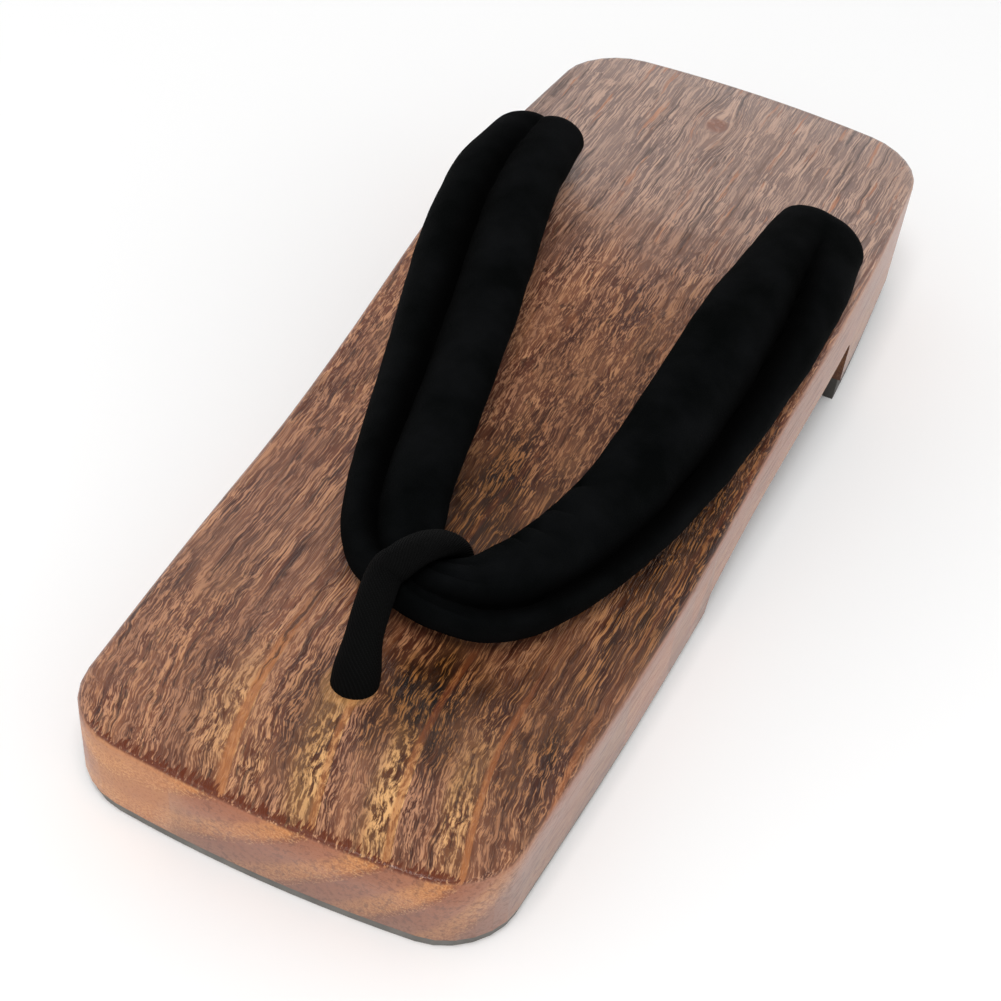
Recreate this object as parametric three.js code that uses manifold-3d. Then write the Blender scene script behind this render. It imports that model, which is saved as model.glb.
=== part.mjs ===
// A geta: one sandal, a wooden block on two rubber pads with a padded velvet thong.
// Millimetres, +Z up, floor at z = 0. The toe points along -Y and the heel along +Y.
import * as THREE from 'three';
import { mergeVertices } from 'three/addons/utils/BufferGeometryUtils.js';
import Module from 'manifold-3d';

const wasm = await Module();
wasm.setup();

// Driving sizes of the block
const blockLength = 270;
const blockWidth = 99;
const frontHeight = 22;
const heelHeight = 35.5;
const riseStart = 82;
const riseEnd = 200;
const toeBow = 3.4;
const heelBow = 4.3;
const toeCornerRadius = 13;
const heelCornerRadius = 14;
const toeUndercut = 3.3;
const edgeRound = 1.6;

// Driving sizes of the feet and of the arch between them
const frontPadThickness = 3;
const heelPadThickness = 6;
const padInset = 0.6;
const archFront = 112;
const archStep = 4.5;
const archSpring = 15;
const archCrown = 18;
const archRound = 3;

// Driving sizes of the thong, its ties and their holes
const bandWidth = 28;
const bandThickness = 14;
const grooveDepth = 3.4;
const seamDepth = 0.9;
const cordWidth = 8.4;
const cordThickness = 4.6;
const cordBow = 1.5;
const tieDiameter = 9;
const knotDiameter = 19;
const knotHeight = 8;
const frontHolePlace = 38;
const rearHolePlace = 191;
const rearHoleSpread = 36.5;
const knotRoom = 2;
const footRoom = 3;
const looseFit = 0.6;
const cordFit = 0.8;
const softGap = 0.3;

// Sizes that follow: the front knot's hollow, and the heel foot's place behind the rear knots
const knotRecessDiameter = knotDiameter + 2 * knotRoom;
const knotRecessDepth = knotHeight + knotRoom;
const archBack = rearHolePlace + knotDiameter / 2 + footRoom;

// Half width of the block as a share of its greatest half width, along its length
const planRows = [
  { along: 0.0, share: 0.885 },
  { along: 0.25, share: 0.95 },
  { along: 0.5, share: 0.975 },
  { along: 0.75, share: 1.0 },
  { along: 1.0, share: 0.93 },
];

// The band from its left end round the front to its right end. Across is a share of the rear
// holes' spread, along of the run from the front hole to the rear ones, wide and thick of the
// band's own width and thickness. Turn is the way from outer to inner edge, in degrees from +X.
// Lean lifts the inner edge and rise is a share of the cord's thickness. Groove is the place of
// the fold between the two rolls, from inner (1) to outer (-1), and fold is its share of depth.
const bandRows = [
  { across: -1.0, along: 1.08, wide: 0.81, turn: 8, thick: 0.95, lean: 4, rise: 0.0, groove: 0.0, fold: 0.2 },
  { across: -0.98, along: 0.95, wide: 0.94, turn: 0, thick: 1.0, lean: 8, rise: 0.0, groove: -0.05, fold: 0.75 },
  { across: -0.88, along: 0.815, wide: 1.02, turn: -3, thick: 1.0, lean: 12, rise: 0.0, groove: -0.1, fold: 1.0 },
  { across: -0.72, along: 0.65, wide: 1.0, turn: -5, thick: 1.0, lean: 14, rise: 0.1, groove: -0.1, fold: 1.0 },
  { across: -0.555, along: 0.48, wide: 0.93, turn: -7, thick: 1.0, lean: 14, rise: 0.2, groove: -0.15, fold: 1.0 },
  { across: -0.39, along: 0.315, wide: 0.8, turn: 3, thick: 1.0, lean: 16, rise: 0.2, groove: -0.25, fold: 1.0 },
  { across: -0.22, along: 0.205, wide: 0.69, turn: 33, thick: 0.8, lean: 13, rise: 0.2, groove: -0.3, fold: 0.8 },
  { across: 0.0, along: 0.163, wide: 0.54, turn: 62, thick: 0.66, lean: 9, rise: 0.3, groove: -0.3, fold: 0.5 },
  { across: 0.22, along: 0.152, wide: 0.55, turn: 97, thick: 0.84, lean: 18, rise: 0.3, groove: -0.35, fold: 0.7 },
  { across: 0.44, along: 0.173, wide: 0.63, turn: 127, thick: 0.95, lean: 30, rise: 0.3, groove: -0.4, fold: 1.0 },
  { across: 0.615, along: 0.245, wide: 0.65, turn: 153, thick: 1.0, lean: 33, rise: 0.2, groove: -0.45, fold: 1.0 },
  { across: 0.8, along: 0.405, wide: 0.715, turn: 178, thick: 1.0, lean: 35, rise: 0.1, groove: -0.45, fold: 1.0 },
  { across: 0.91, along: 0.605, wide: 0.845, turn: 186, thick: 1.0, lean: 33, rise: 0.0, groove: -0.4, fold: 1.0 },
  { across: 0.965, along: 0.8, wide: 0.93, turn: 185, thick: 1.0, lean: 24, rise: 0.0, groove: -0.3, fold: 1.0 },
  { across: 0.99, along: 0.945, wide: 0.91, turn: 178, thick: 1.0, lean: 12, rise: 0.0, groove: -0.15, fold: 0.75 },
  { across: 0.99, along: 1.07, wide: 0.82, turn: 167, thick: 0.95, lean: 4, rise: 0.0, groove: 0.0, fold: 0.2 },
];

// The row of the band that the toe cord wraps, and the turns of the wrap round its section
const wrappedRow = 7;
const wrapTurns = [135, 112, 90, 66, 40, 14, -14, -44];

const halfWidth = blockWidth / 2;

// Materials
const lacqueredWood = new THREE.MeshStandardMaterial({ color: 0x6e4a38, roughness: 0.35, metalness: 0 });
const rubber = new THREE.MeshStandardMaterial({ color: 0x4a4947, roughness: 0.8, metalness: 0 });
const velvet = new THREE.MeshStandardMaterial({ color: 0x0a0a0b, roughness: 0.95, metalness: 0 });
const ribbedCloth = new THREE.MeshStandardMaterial({ color: 0x1e2024, roughness: 0.9, metalness: 0 });
const hemp = new THREE.MeshStandardMaterial({ color: 0x2a2622, roughness: 0.9, metalness: 0 });

// A smooth value of a table's column at any place between its rows
function readRows(rows, place, column, at) {
  const last = rows.length - 1;
  let i = 0;
  while (i < last - 1 && at > place(rows[i + 1], i + 1)) i += 1;
  const slope = (k) => {
    const before = Math.max(k - 1, 0);
    const after = Math.min(k + 1, last);
    const run = place(rows[after], after) - place(rows[before], before);
    return (rows[after][column] - rows[before][column]) / run;
  };
  const start = place(rows[i], i);
  const span = place(rows[i + 1], i + 1) - start;
  const t = THREE.MathUtils.clamp((at - start) / span, 0, 1);
  const rise = rows[i + 1][column] - rows[i][column];
  const bend = (1 - t) * (slope(i) * span - rise) - t * (slope(i + 1) * span - rise);
  return rows[i][column] + rise * t + t * (1 - t) * bend;
}

const byIndex = (row, index) => index;
const byAlong = (row) => row.along;

function halfWidthAt(fromToe) {
  const share = readRows(planRows, byAlong, 'share', fromToe / blockLength);
  return share * halfWidth;
}

// Height of the deck: low at the toe, an even rise through the middle, flat at the heel
function deckAt(fromToe) {
  return frontHeight + (heelHeight - frontHeight) * THREE.MathUtils.smoothstep(fromToe, riseStart, riseEnd);
}

function solidFrom(geometry) {
  geometry.deleteAttribute('normal');
  geometry.deleteAttribute('uv');
  const merged = mergeVertices(geometry, 1e-4);
  return new wasm.Manifold(new wasm.Mesh({
    numProp: 3,
    vertProperties: new Float32Array(merged.attributes.position.array),
    triVerts: new Uint32Array(merged.index.array),
  }));
}

function addPiece(name, solid, material) {
  const mesh = solid.getMesh();
  const geometry = new THREE.BufferGeometry();
  geometry.setAttribute('position', new THREE.BufferAttribute(new Float32Array(mesh.vertProperties), 3));
  geometry.setIndex(new THREE.BufferAttribute(new Uint32Array(mesh.triVerts), 1));
  geometry.computeVertexNormals();
  const piece = new THREE.Mesh(geometry, material);
  piece.name = name;
  sandal.add(piece);
}

// A closed skin over rings of equal length, each ring running the same way round
function loftRings(rings, capTriangles) {
  const count = rings[0].length;
  const positions = [];
  const index = [];
  for (const ring of rings) {
    for (const point of ring) positions.push(point.x, point.y, point.z);
  }
  for (let level = 0; level < rings.length - 1; level += 1) {
    for (let i = 0; i < count; i += 1) {
      const a = level * count + i;
      const b = level * count + (i + 1) % count;
      index.push(a, b, b + count, a, b + count, a + count);
    }
  }
  const top = (rings.length - 1) * count;
  for (const [a, b, c] of capTriangles(count)) {
    index.push(a, c, b, top + a, top + b, top + c);
  }
  const geometry = new THREE.BufferGeometry();
  geometry.setAttribute('position', new THREE.Float32BufferAttribute(positions, 3));
  geometry.setIndex(index);
  return solidFrom(geometry);
}

// Caps that join each point to its mirror point, so a deck bent along its length stays true
function mirrorCaps(count) {
  const triangles = [];
  const half = count / 2;
  for (let i = 0; i < half; i += 1) {
    const rightNow = i;
    const rightNext = i + 1;
    const leftNow = (count - i) % count;
    const leftNext = count - i - 1;
    if (leftNow !== rightNow) triangles.push([rightNow, rightNext, leftNow]);
    if (rightNext !== leftNext) triangles.push([rightNext, leftNext, leftNow]);
  }
  return triangles;
}

function fanCaps(count) {
  return Array.from({ length: count - 2 }, (unused, i) => [0, i + 1, i + 2]);
}

// The block's plan as a ring from the middle of the toe round by the right side.
// Insets move the side, toe and heel edges inward.
function planRing(inset, heightAt) {
  const cornerSteps = 6;
  const endSteps = 5;
  const sideSteps = 20;
  const right = [];
  const endPoint = (end, acrossShare, fromEnd, fromSide) => {
    const bow = end === 'toe' ? toeBow : heelBow;
    const guess = Math.max(fromEnd, 0) + bow + inset[end];
    const half = halfWidthAt(end === 'toe' ? guess : blockLength - guess) - inset.side;
    const x = fromSide === null ? acrossShare * half : half - fromSide;
    const back = inset[end] + fromEnd + bow * (x / half) ** 2;
    return { x, y: end === 'toe' ? back : blockLength - back };
  };
  const addEnd = (end, radius, points) => {
    const half = halfWidthAt(end === 'toe' ? 0 : blockLength);
    for (let i = 0; i < endSteps; i += 1) {
      points.push(endPoint(end, (i / endSteps) * (1 - radius / half), 0, null));
    }
    for (let i = 0; i <= cornerSteps; i += 1) {
      const turn = (i / cornerSteps) * Math.PI / 2;
      points.push(endPoint(end, 0, radius * (1 - Math.cos(turn)), radius * (1 - Math.sin(turn))));
    }
  };
  addEnd('toe', toeCornerRadius, right);
  const sideStart = right[right.length - 1].y;
  const heelPart = [];
  addEnd('heel', heelCornerRadius, heelPart);
  const sideEnd = heelPart[heelPart.length - 1].y;
  for (let i = 1; i < sideSteps; i += 1) {
    const y = sideStart + (sideEnd - sideStart) * i / sideSteps;
    right.push({ x: halfWidthAt(y) - inset.side, y });
  }
  right.push(...heelPart.reverse());
  const left = right.slice(1, -1).reverse().map((point) => ({ x: -point.x, y: point.y }));
  return [...right, ...left].map((point) => (
    new THREE.Vector3(point.x, point.y - blockLength / 2, heightAt(point.y))
  ));
}

function evenInset(amount) {
  return { side: amount, toe: amount, heel: amount };
}

// A prism of one side-view outline, right across the block. Its points are (from toe, height).
function prismAcross(shape) {
  const depth = blockWidth + 20;
  const geometry = new THREE.ExtrudeGeometry(shape, { depth, bevelEnabled: false, curveSegments: 10 });
  geometry.translate(0, 0, -depth / 2);
  geometry.rotateX(Math.PI / 2);
  geometry.rotateZ(Math.PI / 2);
  geometry.translate(0, -blockLength / 2, 0);
  return solidFrom(geometry);
}

function uprightCylinder(diameter, x, fromToe, bottom, top, sides = 28) {
  const geometry = new THREE.CylinderGeometry(diameter / 2, diameter / 2, top - bottom, sides);
  geometry.rotateX(Math.PI / 2);
  geometry.translate(x, fromToe - blockLength / 2, (bottom + top) / 2);
  return solidFrom(geometry);
}

// The three points that bend the arch's ceiling, from its crown down to the front foot
function archCeiling() {
  return [
    new THREE.Vector2(archBack - archRound, archCrown),
    new THREE.Vector2(archFront + (archBack - archFront) * 0.35, archSpring),
    new THREE.Vector2(archFront + archStep / 3, frontPadThickness + archStep),
  ];
}

function archCeilingAt(fromToe) {
  const points = new THREE.QuadraticBezierCurve(...archCeiling()).getPoints(60);
  const nearest = points.reduce((best, point) => (
    Math.abs(point.x - fromToe) < Math.abs(best.x - fromToe) ? point : best
  ));
  return nearest.y;
}

// Everything below the front foot, the arch and the heel foot
function belowBlock() {
  const shape = new THREE.Shape();
  shape.moveTo(-10, -5);
  shape.lineTo(blockLength + 10, -5);
  shape.lineTo(blockLength + 10, heelPadThickness);
  shape.lineTo(archBack, heelPadThickness);
  shape.lineTo(archBack, archCrown - archRound);
  const [crown, spring, step] = archCeiling();
  shape.quadraticCurveTo(archBack, archCrown, crown.x, crown.y);
  shape.quadraticCurveTo(spring.x, spring.y, step.x, step.y);
  shape.lineTo(archFront, frontPadThickness);
  shape.lineTo(-10, frontPadThickness);
  return prismAcross(shape);
}

// The wooden block
function makeBlock() {
  const undercut = { side: 0, toe: toeUndercut, heel: 0 };
  const rings = [planRing(undercut, () => 0)];
  rings.push(planRing(evenInset(0), (y) => deckAt(y) - edgeRound));
  const roundSteps = 3;
  for (let i = 1; i <= roundSteps; i += 1) {
    const turn = (i / roundSteps) * Math.PI / 2;
    const inset = edgeRound * (1 - Math.cos(turn));
    const drop = edgeRound * (1 - Math.sin(turn));
    rings.push(planRing(evenInset(inset), (y) => deckAt(y) - drop));
  }
  const frontBore = uprightCylinder(cordWidth + cordFit, 0, frontHolePlace, -1, frontHeight + 5);
  const recessTop = frontPadThickness + knotRecessDepth;
  const recess = uprightCylinder(knotRecessDiameter, 0, frontHolePlace, -1, recessTop, 36);
  let block = loftRings(rings, mirrorCaps).subtract(belowBlock()).subtract(frontBore).subtract(recess);
  for (const side of [-1, 1]) {
    const x = side * rearHoleSpread;
    block = block.subtract(uprightCylinder(tieDiameter + looseFit, x, rearHolePlace, -1, heelHeight + 5));
  }
  return block;
}

// A rubber pad: a slice of the block's plan between two places along it
function makePad(thickness, from, to) {
  const inset = { side: padInset, toe: toeUndercut + padInset, heel: padInset };
  const plan = loftRings([planRing(inset, () => 0), planRing(inset, () => thickness)], mirrorCaps);
  const slab = new THREE.BoxGeometry(blockWidth + 20, to - from, thickness * 3);
  slab.translate(0, (from + to) / 2 - blockLength / 2, 0);
  return plan.intersect(solidFrom(slab));
}

function makeFrontPad() {
  const opening = uprightCylinder(knotRecessDiameter, 0, frontHolePlace, -5, frontPadThickness + 5, 36);
  return makePad(frontPadThickness, -10, archFront).subtract(opening);
}

// One cross-section of the band: two rolls with a groove on top and a seam below
function bandSection(centre, across, halfWide, halfThick, lean, groove, depth) {
  const sides = 26;
  const tilt = THREE.MathUtils.degToRad(lean);
  const up = new THREE.Vector3(0, 0, 1);
  const wide = across.clone().multiplyScalar(Math.cos(tilt)).addScaledVector(up, Math.sin(tilt));
  const thick = across.clone().multiplyScalar(-Math.sin(tilt)).addScaledVector(up, Math.cos(tilt));
  const ring = [];
  for (let i = 0; i < sides; i += 1) {
    const turn = (i / sides) * Math.PI * 2;
    const place = Math.cos(turn);
    const face = Math.sin(turn);
    const fold = face > 0
      ? depth * Math.exp(-(((place - groove) / 0.2) ** 2))
      : -seamDepth * Math.exp(-((place / 0.25) ** 2));
    const reach = face * halfThick - fold * Math.min(1, halfThick / (bandThickness / 2));
    ring.push(centre.clone().addScaledVector(wide, place * halfWide).addScaledVector(thick, reach));
  }
  return ring;
}

// The band's state at a place between its rows
function bandAt(at) {
  const read = (column) => readRows(bandRows, byIndex, column, at);
  const run = rearHolePlace - frontHolePlace;
  const centre = new THREE.Vector3(read('across') * rearHoleSpread, frontHolePlace + read('along') * run, 0);
  const turn = THREE.MathUtils.degToRad(read('turn'));
  const across = new THREE.Vector3(Math.cos(turn), Math.sin(turn), 0);
  const tilt = THREE.MathUtils.degToRad(read('lean'));
  const halfThick = read('thick') * bandThickness / 2;
  const seen = read('wide') * bandWidth / 2;
  const halfWide = Math.sqrt(Math.max(seen ** 2 - (halfThick * Math.sin(tilt)) ** 2, 9)) / Math.cos(tilt);
  const reachDown = Math.hypot(halfWide * Math.sin(tilt), halfThick * Math.cos(tilt));
  const outer = centre.clone().addScaledVector(across, -seen);
  const inner = centre.clone().addScaledVector(across, seen);
  const lift = softGap + reachDown + read('rise') * (cordThickness + softGap);
  centre.z = highestDeckUnder(outer, inner) + lift;
  const depth = read('fold') * grooveDepth;
  return { centre, across, halfWide, halfThick, lean: read('lean'), groove: read('groove'), depth };
}

function highestDeckUnder(a, b) {
  return Math.max(deckAt(a.y), deckAt(b.y));
}

// The padded velvet band, with its two rounded ends over the rear holes. Growth widens every
// section, for the room that the toe cord leaves round it.
function makeBand(growth) {
  const stepsPerRow = 4;
  const endSteps = 6;
  const rings = [];
  const addRing = (state, shrink, shift) => {
    const centre = state.centre.clone().add(shift);
    centre.y -= blockLength / 2;
    rings.push(bandSection(
      centre, state.across, state.halfWide * shrink + growth, state.halfThick * shrink + growth,
      state.lean, state.groove, state.depth * shrink,
    ));
  };
  const addEnd = (at, order) => {
    const state = bandAt(at);
    for (const i of order) {
      const turn = (i / endSteps) * Math.PI / 2;
      const shift = new THREE.Vector3(0, Math.sin(turn) * state.halfWide * 0.8, 0);
      shift.z = -state.halfThick * (1 - Math.cos(turn)) * 0.6;
      addRing(state, Math.max(Math.cos(turn), 0.12), shift);
    }
  };
  const last = bandRows.length - 1;
  addEnd(0, [6, 5, 4, 3, 2, 1]);
  for (let i = 0; i <= last * stepsPerRow; i += 1) {
    addRing(bandAt(i / stepsPerRow), 1, new THREE.Vector3());
  }
  addEnd(last, [1, 2, 3, 4, 5, 6]);
  return loftRings(rings, fanCaps);
}

// A soft knot: a low ball, flattened above and below
function knotAt(x, fromToe, top) {
  const geometry = new THREE.SphereGeometry(1, 20, 12);
  geometry.rotateX(Math.PI / 2);
  geometry.scale(knotDiameter / 2, knotDiameter / 2, knotHeight / 2);
  geometry.translate(x, fromToe - blockLength / 2, top - knotHeight / 2);
  return solidFrom(geometry);
}

// The toe cord: up from its knot through the front hole, over the band and down behind it
function makeToeCord() {
  const wrapped = bandAt(wrappedRow);
  const near = [-0.45, -0.25, 0.25, 0.45].map((step) => bandAt(wrappedRow + step));
  const topOf = (state) => state.centre.z + state.halfThick;
  wrapped.halfThick = Math.max(...near.map(topOf), topOf(wrapped)) - wrapped.centre.z;
  const tilt = THREE.MathUtils.degToRad(wrapped.lean);
  const up = new THREE.Vector3(0, 0, 1);
  const wide = wrapped.across.clone().multiplyScalar(Math.cos(tilt)).addScaledVector(up, Math.sin(tilt));
  const thick = wrapped.across.clone().multiplyScalar(-Math.sin(tilt)).addScaledVector(up, Math.cos(tilt));
  const away = cordThickness / 2 + softGap;
  const wrap = wrapTurns.map((degrees) => {
    const turn = THREE.MathUtils.degToRad(degrees);
    return wrapped.centre.clone()
      .addScaledVector(wide, Math.cos(turn) * (wrapped.halfWide + away))
      .addScaledVector(thick, Math.sin(turn) * (wrapped.halfThick + away));
  });
  const knotTop = frontPadThickness + knotRecessDepth - softGap;
  const points = [
    new THREE.Vector3(0, frontHolePlace, knotTop - knotHeight / 2),
    new THREE.Vector3(0, frontHolePlace, frontHeight),
    new THREE.Vector3(0, frontHolePlace, frontHeight).lerp(wrap[0], 0.5).add(new THREE.Vector3(0, -cordBow, cordBow)),
    ...wrap,
  ];
  for (const point of points) point.y -= blockLength / 2;
  const path = new THREE.CatmullRomCurve3(points);
  const steps = 44;
  const sides = 14;
  const rings = [];
  for (let i = 0; i <= steps; i += 1) {
    const centre = path.getPoint(i / steps);
    const along = path.getTangent(i / steps);
    const across = new THREE.Vector3(1, 0, 0).addScaledVector(along, -along.x).normalize();
    const out = new THREE.Vector3().crossVectors(along, across);
    rings.push(Array.from({ length: sides }, (unused, k) => {
      const turn = (k / sides) * Math.PI * 2;
      return centre.clone()
        .addScaledVector(across, Math.cos(turn) * cordWidth / 2)
        .addScaledVector(out, Math.sin(turn) * cordThickness / 2);
    }));
  }
  const cord = loftRings(rings, fanCaps).subtract(makeBand(softGap));
  return cord.add(knotAt(0, frontHolePlace, knotTop));
}

// A rear tie: the tail of the band through its hole, with a knot under the arch
function makeRearTie(side) {
  const x = side * rearHoleSpread;
  const ceiling = archCeilingAt(rearHolePlace - knotDiameter / 2);
  const knotTop = ceiling - softGap;
  const tail = uprightCylinder(tieDiameter, x, rearHolePlace, knotTop - knotHeight / 2, deckAt(rearHolePlace));
  return tail.add(knotAt(x, rearHolePlace, knotTop));
}

const sandal = new THREE.Group();
addPiece('dai', makeBlock(), lacqueredWood);
addPiece('front_sole_pad', makeFrontPad(), rubber);
addPiece('heel_sole_pad', makePad(heelPadThickness, archBack, blockLength + 10), rubber);
addPiece('hanao', makeBand(0), velvet);
addPiece('toe_cord', makeToeCord(), ribbedCloth);
addPiece('rear_tie_left', makeRearTie(-1), hemp);
addPiece('rear_tie_right', makeRearTie(1), hemp);

export default sandal;
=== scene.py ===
# A geta: the dressed model of one wooden sandal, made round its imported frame. Units are metres.
import bpy
import bmesh
import math
from mathutils import Matrix, Vector, noise


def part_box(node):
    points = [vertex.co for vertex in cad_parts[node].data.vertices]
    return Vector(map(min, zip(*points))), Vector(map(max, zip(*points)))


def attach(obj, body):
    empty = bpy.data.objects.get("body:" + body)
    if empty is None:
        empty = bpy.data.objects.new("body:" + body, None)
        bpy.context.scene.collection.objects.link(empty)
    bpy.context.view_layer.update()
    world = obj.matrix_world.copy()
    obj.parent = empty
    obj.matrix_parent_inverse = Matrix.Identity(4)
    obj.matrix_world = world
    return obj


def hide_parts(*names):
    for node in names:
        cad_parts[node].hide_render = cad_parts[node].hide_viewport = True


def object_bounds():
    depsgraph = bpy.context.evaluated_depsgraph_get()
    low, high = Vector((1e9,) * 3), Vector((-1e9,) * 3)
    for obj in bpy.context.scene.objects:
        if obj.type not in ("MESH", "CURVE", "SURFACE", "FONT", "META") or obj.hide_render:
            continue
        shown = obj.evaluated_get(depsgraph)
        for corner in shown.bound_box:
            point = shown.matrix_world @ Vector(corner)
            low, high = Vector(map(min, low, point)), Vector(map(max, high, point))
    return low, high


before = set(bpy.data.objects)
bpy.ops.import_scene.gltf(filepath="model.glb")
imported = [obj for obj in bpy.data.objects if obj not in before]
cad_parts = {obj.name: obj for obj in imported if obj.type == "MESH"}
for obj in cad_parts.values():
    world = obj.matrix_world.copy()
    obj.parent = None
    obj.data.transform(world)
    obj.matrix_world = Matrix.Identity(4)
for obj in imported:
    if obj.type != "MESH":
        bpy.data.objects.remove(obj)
cad_low, cad_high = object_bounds()

scene = bpy.context.scene
bpy.ops.object.select_all(action="DESELECT")

# The camera. It stands where the photograph's camera stood, above the toe and to its right, and
# looks down the length of the shoe, turned a little about its own axis.
MM = 0.001
camera_data = bpy.data.cameras.new("camera")
camera_data.sensor_width = 36.0
camera_data.lens = 80.0
camera_data.clip_start = 0.01
camera = bpy.data.objects.new("camera", camera_data)
scene.collection.objects.link(camera)
scene.camera = camera
camera_place = Vector((109.5, -369.9, 322.4)) * MM
looked_at = Vector((1.8, -32.1, 20.0)) * MM
camera_roll = math.radians(9.58)
turn = (looked_at - camera_place).to_track_quat("-Z", "Y").to_matrix().to_4x4()
camera.matrix_world = Matrix.Translation(camera_place) @ turn @ Matrix.Rotation(camera_roll, 4, "Z")


# The block: one piece of paulownia, sawn to its arch, burnt, brushed along the grain and
# lacquered. The burnt deck is dark with golden fibres left between, and its sawn walls are a
# plainer orange brown.
def linear(hex_colour):
    """A colour that is written as sRGB hex, as Blender's linear values."""
    parts = [int(hex_colour[i:i + 2], 16) / 255 for i in (1, 3, 5)]
    return tuple(p / 12.92 if p <= 0.04045 else ((p + 0.055) / 1.055) ** 2.4 for p in parts) + (1.0,)


def add(tree, kind, inputs=None, stops=(), **settings):
    """Adds a node with its settings, values, ramp stops and links, and gives its first output.

    Inputs go by name, or by place where names repeat: a MapRange's 1 to 4 are the two ends that it
    reads and the two that it gives.
    """
    node = tree.nodes.new("ShaderNode" + kind)
    for name, value in settings.items():
        setattr(node, name, value)
    for name, value in (inputs or {}).items():
        if isinstance(name, str):
            socket = next(s for s in node.inputs if s.enabled and s.name == name)
        else:
            socket = node.inputs[name]
        if isinstance(value, bpy.types.NodeSocket):
            tree.links.new(value, socket)
        else:
            socket.default_value = linear(value) if isinstance(value, str) else value
    for i, (place, colour) in enumerate(stops):
        stop = node.color_ramp.elements[i] if i < 2 else node.color_ramp.elements.new(place)
        stop.position, stop.color = place, linear(colour)
    return next(s for s in node.outputs if s.enabled)


def new_material(name, **sockets):
    """An empty material with its surface shader, whose sockets are set by name."""
    material = bpy.data.materials.new(name)
    material.use_nodes = True
    tree = material.node_tree
    shader = tree.nodes["Principled BSDF"]
    for socket, value in sockets.items():
        value = linear(value) if isinstance(value, str) else value
        shader.inputs[socket.replace("_", " ")].default_value = value
    return material, tree, shader


# Burnt, brushed and lacquered paulownia. The torch chars the soft wood, the brush hollows it
# out, and the hard fibres stand up paler under a clear gloss. The lacquer's IOR is 1.5.
wood, tree, shader = new_material("burnt_paulownia", Roughness=0.45, IOR=1.5,
                                  Specular_IOR_Level=0.12, Coat_Weight=0.5, Coat_Roughness=0.16,
                                  Coat_IOR=1.5)
coordinates = add(tree, "TexCoord").node.outputs
plain = add(tree, "VectorMath", {0: coordinates["Object"], "Scale": 1000.0}, operation="SCALE")
facing = add(tree, "SeparateXYZ", {0: coordinates["Normal"]}).node.outputs
along = add(tree, "SeparateXYZ", {0: plain}).node.outputs["Y"]


def near(place, centre, reach, low=1.0, high=0.2, most=1.0):
    """A soft spot of the wood: 0 past its reach in mm along each axis, and most at its middle."""
    moved = add(tree, "VectorMath", {0: place, 1: centre}, operation="SUBTRACT")
    moved = add(tree, "VectorMath", {0: moved, 1: reach}, operation="DIVIDE")
    far = add(tree, "VectorMath", {0: moved}, operation="LENGTH")
    return add(tree, "MapRange", {"Value": far, 1: low, 2: high, 4: most},
               interpolation_type="SMOOTHSTEP")


def grain(place, across, length, detail=3.0, roughness=0.55):
    """Noise drawn out along the block, by its width and length in mm."""
    size = (1 / across, 1 / length, 1 / across)
    moved = add(tree, "VectorMath", {0: place, 1: size}, operation="MULTIPLY")
    return add(tree, "TexNoise", {0: moved, "Scale": 1.0, "Detail": detail, "Roughness": roughness})


# A small knot at the heel bends the fibres round it
knot_place = (-4.4, 112.7, 35.5)
pushed = add(tree, "VectorMath", {0: plain, 1: knot_place}, operation="SUBTRACT")
pushed = add(tree, "VectorMath", {0: pushed, 1: (1, 0, 0)}, operation="MULTIPLY")
beside_knot = near(plain, knot_place, (9, 20, 30), 1.0, 0.1, 0.85)
pushed = add(tree, "VectorMath", {0: pushed, "Scale": beside_knot}, operation="SCALE")
place = add(tree, "VectorMath", {0: plain, 1: pushed}, operation="SUBTRACT")

# Rings and fibres sweep to the right as they near the toe
sweep = add(tree, "Math", {0: along, 1: 85.0}, operation="ADD")
sweep = add(tree, "Math", {0: sweep, 1: 0.0}, operation="MINIMUM")
sweep = add(tree, "Math", {0: sweep, 1: sweep}, operation="MULTIPLY")
sweep = add(tree, "Math", {0: sweep, 1: -0.0035}, operation="MULTIPLY")
sweep = add(tree, "CombineXYZ", {"X": sweep})
place = add(tree, "VectorMath", {0: place, 1: sweep}, operation="ADD")
toe = add(tree, "MapRange", {"Value": along, 1: -68.0, 2: -98.0}, interpolation_type="SMOOTHSTEP")

# The fibres wave from side to side by about a millimetre
bent = add(tree, "TexNoise", {0: place, "Scale": 0.13, "Detail": 2.0}).node.outputs["Color"]
bent = add(tree, "VectorMath", {0: bent, 1: (0.5, 0.5, 0.5)}, operation="SUBTRACT")
wave = add(tree, "MapRange", {"Value": toe, 3: 1.2, 4: 2.6})
bent = add(tree, "VectorMath", {0: bent, "Scale": wave}, operation="SCALE")
waved = add(tree, "VectorMath", {0: place, 1: bent}, operation="ADD")

# Growth rings about 11 mm apart round a heart that lay up and to the left of the block
ring_width = 11.4
first_ring = -3.66       # in rings, so that the lines fall where the photograph has them
heart_place = (-50, 0, 75)
heart = add(tree, "VectorMath", {0: place, 1: heart_place}, operation="SUBTRACT")
heart = add(tree, "VectorMath", {0: heart, 1: (1, 0, 1)}, operation="MULTIPLY")
radius = add(tree, "VectorMath", {0: heart}, operation="LENGTH")
radius = add(tree, "Math", {0: grain(place, 40, 90), 1: 3.0, 2: radius}, operation="MULTIPLY_ADD")
ring_place = add(tree, "Math", {0: radius, 1: 1 / ring_width, 2: first_ring},
                 operation="MULTIPLY_ADD")
ring = add(tree, "Math", {0: ring_place}, operation="FRACT")
ring_line = add(tree, "MapRange", {"Value": ring, 1: 0.87, 2: 0.92}, interpolation_type="SMOOTHSTEP")
ring_end = add(tree, "MapRange", {"Value": ring, 1: 1.0, 2: 0.98}, interpolation_type="SMOOTHSTEP")
ring_line = add(tree, "Math", {0: ring_line, 1: ring_end}, operation="MULTIPLY")
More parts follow.
